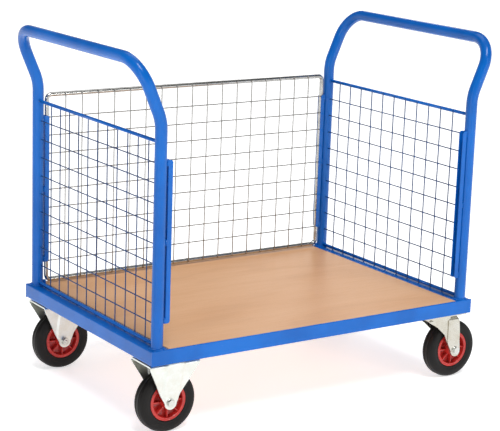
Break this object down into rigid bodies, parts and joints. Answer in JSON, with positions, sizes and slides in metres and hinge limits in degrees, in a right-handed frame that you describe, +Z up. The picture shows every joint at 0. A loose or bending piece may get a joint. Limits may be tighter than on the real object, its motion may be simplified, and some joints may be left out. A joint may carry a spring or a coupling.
{
  "type": "flatbed platform truck",
  "caption": "Flatbed platform truck with two wire mesh end hoops, a lift-out mesh side panel, a plywood deck, fixed casters at one end and swivel casters at the other.",
  "frame": {"origin": "floor level, in the middle of the overall length and width", "axes": "+X along the length towards the swivel casters, +Y across the width towards the lift-out panel, +Z up"},
  "size_m": [1.1114, 0.68, 0.945],
  "materials": {
    "blue_paint": "gloss",
    "zinc_plate": "satin",
    "bearing_steel": "polished",
    "beech_board": "satin",
    "black_rubber": "matte",
    "red_plastic": "semi-gloss"
  },
  "bodies": {
    "chassis": {"caster_bolts": "zinc_plate", "caster_nuts": "zinc_plate", "caster_support_left": "blue_paint", "caster_support_right": "blue_paint", "cross_member_center": "blue_paint", "deck_board": "beech_board", "deck_screws": "zinc_plate", "end_beam_left": "blue_paint", "end_beam_right": "blue_paint", "fixed_axle_bolts": "zinc_plate", "fixed_axle_nuts": "zinc_plate", "fixed_axle_sleeves": "bearing_steel", "fixed_bracket_back": "zinc_plate", "fixed_bracket_front": "zinc_plate", "guide_left_back": "blue_paint", "guide_left_front": "blue_paint", "guide_right_back": "blue_paint", "guide_right_front": "blue_paint", "hoop_left": "blue_paint", "hoop_right": "blue_paint", "mesh_columns_left": "blue_paint", "mesh_columns_right": "blue_paint", "mesh_rods_left": "blue_paint", "mesh_rods_right": "blue_paint", "mesh_rows_left": "blue_paint", "mesh_rows_right": "blue_paint", "panel_rests": "blue_paint", "side_rail_back": "blue_paint", "side_rail_front": "blue_paint", "swivel_balls_back": "bearing_steel", "swivel_balls_front": "bearing_steel", "swivel_kingpin_back": "zinc_plate", "swivel_kingpin_front": "zinc_plate", "swivel_lower_cup_back": "zinc_plate", "swivel_lower_cup_front": "zinc_plate", "swivel_plate_back": "zinc_plate", "swivel_plate_front": "zinc_plate"},
    "side_panel": {"panel_frame": "zinc_plate", "panel_columns": "zinc_plate", "panel_rows": "zinc_plate"},
    "swivel_fork_front_body": {"swivel_fork_front": "zinc_plate", "swivel_axle_bolt_front": "zinc_plate", "swivel_axle_nut_front": "zinc_plate", "swivel_axle_sleeve_front": "bearing_steel"},
    "fixed_wheel_front": {"fixed_tyre_front": "black_rubber", "fixed_wheel_center_front": "red_plastic", "fixed_rollers_front": "bearing_steel"},
    "swivel_wheel_front": {"swivel_tyre_front": "black_rubber", "swivel_wheel_center_front": "red_plastic", "swivel_rollers_front": "bearing_steel"},
    "swivel_fork_back_body": {"swivel_fork_back": "zinc_plate", "swivel_axle_bolt_back": "zinc_plate", "swivel_axle_nut_back": "zinc_plate", "swivel_axle_sleeve_back": "bearing_steel"},
    "fixed_wheel_back": {"fixed_tyre_back": "black_rubber", "fixed_wheel_center_back": "red_plastic", "fixed_rollers_back": "bearing_steel"},
    "swivel_wheel_back": {"swivel_tyre_back": "black_rubber", "swivel_wheel_center_back": "red_plastic", "swivel_rollers_back": "bearing_steel"}
  },
  "joints": [
    {"name": "panel_lift", "type": "slide", "parent": "chassis", "child": "side_panel", "axis": [0, 0, 1], "range_m": [0, 0.47]},
    {"name": "swivel_front", "type": "hinge", "parent": "chassis", "child": "swivel_fork_front_body", "pos_m": [0.42225, -0.28, 0.17], "axis": [0, 0, 1], "continuous": true},
    {"name": "fixed_wheel_spin_front", "type": "hinge", "parent": "chassis", "child": "fixed_wheel_front", "pos_m": [-0.42975, -0.28, 0.08], "axis": [0, 1, 0], "continuous": true},
    {"name": "swivel_wheel_spin_front", "type": "hinge", "parent": "swivel_fork_front_body", "child": "swivel_wheel_front", "pos_m": [0.47575, -0.28, 0.08], "axis": [0, 1, 0], "continuous": true},
    {"name": "swivel_back", "type": "hinge", "parent": "chassis", "child": "swivel_fork_back_body", "pos_m": [0.42225, 0.28, 0.17], "axis": [0, 0, 1], "continuous": true},
    {"name": "fixed_wheel_spin_back", "type": "hinge", "parent": "chassis", "child": "fixed_wheel_back", "pos_m": [-0.42975, 0.28, 0.08], "axis": [0, 1, 0], "continuous": true},
    {"name": "swivel_wheel_spin_back", "type": "hinge", "parent": "swivel_fork_back_body", "child": "swivel_wheel_back", "pos_m": [0.47575, 0.28, 0.08], "axis": [0, 1, 0], "continuous": true}
  ]
}
